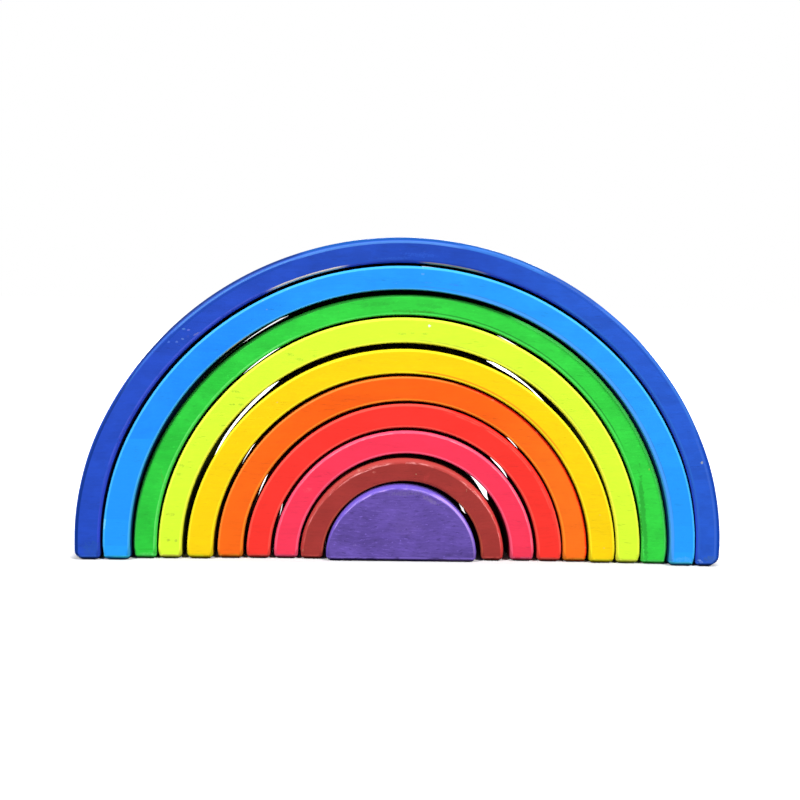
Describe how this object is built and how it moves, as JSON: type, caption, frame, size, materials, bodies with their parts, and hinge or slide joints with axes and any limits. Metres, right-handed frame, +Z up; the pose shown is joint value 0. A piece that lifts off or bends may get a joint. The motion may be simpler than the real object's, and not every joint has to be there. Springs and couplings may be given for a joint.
{
  "type": "rainbow stacker",
  "caption": "Wooden rainbow stacker: a solid half disc with ever wider coloured arches nested over it, each standing on two flat feet and lifting off the one inside it.",
  "frame": {"origin": "centre of the bounding box on the floor the feet stand on", "axes": "+X to the right across the arches, +Y from the front face to the back, +Z up"},
  "size_m": [0.3542, 0.0724, 0.1772],
  "materials": {
    "purple_stain": "satin stain, the grain just showing",
    "maroon_stain": "satin stain, the grain just showing",
    "pink_stain": "satin stain, the grain just showing",
    "red_stain": "satin stain, the grain just showing",
    "orange_stain": "satin stain, the grain just showing",
    "yellow_stain": "satin stain, the grain just showing",
    "lime_stain": "satin stain, the grain just showing",
    "green_stain": "satin stain, the grain just showing",
    "light_blue_stain": "satin stain, the grain just showing",
    "dark_blue_stain": "satin stain, the grain just showing"
  },
  "bodies": {
    "core": {"purple_half_disc": "purple_stain"},
    "maroon": {"maroon_arch": "maroon_stain"},
    "pink": {"pink_arch": "pink_stain"},
    "red": {"red_arch": "red_stain"},
    "orange": {"orange_arch": "orange_stain"},
    "yellow": {"yellow_arch": "yellow_stain"},
    "lime": {"lime_arch": "lime_stain"},
    "green": {"green_arch": "green_stain"},
    "light_blue": {"light_blue_arch": "light_blue_stain"},
    "dark_blue": {"dark_blue_arch": "dark_blue_stain"}
  },
  "joints": [
    {"name": "maroon_lift", "type": "slide", "parent": "core", "child": "maroon", "axis": [0, 0, 1], "range_m": [0, 0.048]},
    {"name": "pink_lift", "type": "slide", "parent": "maroon", "child": "pink", "axis": [0, 0, 1], "range_m": [0, 0.062]},
    {"name": "red_lift", "type": "slide", "parent": "pink", "child": "red", "axis": [0, 0, 1], "range_m": [0, 0.078]},
    {"name": "orange_lift", "type": "slide", "parent": "red", "child": "orange", "axis": [0, 0, 1], "range_m": [0, 0.092]},
    {"name": "yellow_lift", "type": "slide", "parent": "orange", "child": "yellow", "axis": [0, 0, 1], "range_m": [0, 0.108]},
    {"name": "lime_lift", "type": "slide", "parent": "yellow", "child": "lime", "axis": [0, 0, 1], "range_m": [0, 0.122]},
    {"name": "green_lift", "type": "slide", "parent": "lime", "child": "green", "axis": [0, 0, 1], "range_m": [0, 0.14]},
    {"name": "light_blue_lift", "type": "slide", "parent": "green", "child": "light_blue", "axis": [0, 0, 1], "range_m": [0, 0.152]},
    {"name": "dark_blue_lift", "type": "slide", "parent": "light_blue", "child": "dark_blue", "axis": [0, 0, 1], "range_m": [0, 0.167]}
  ]
}
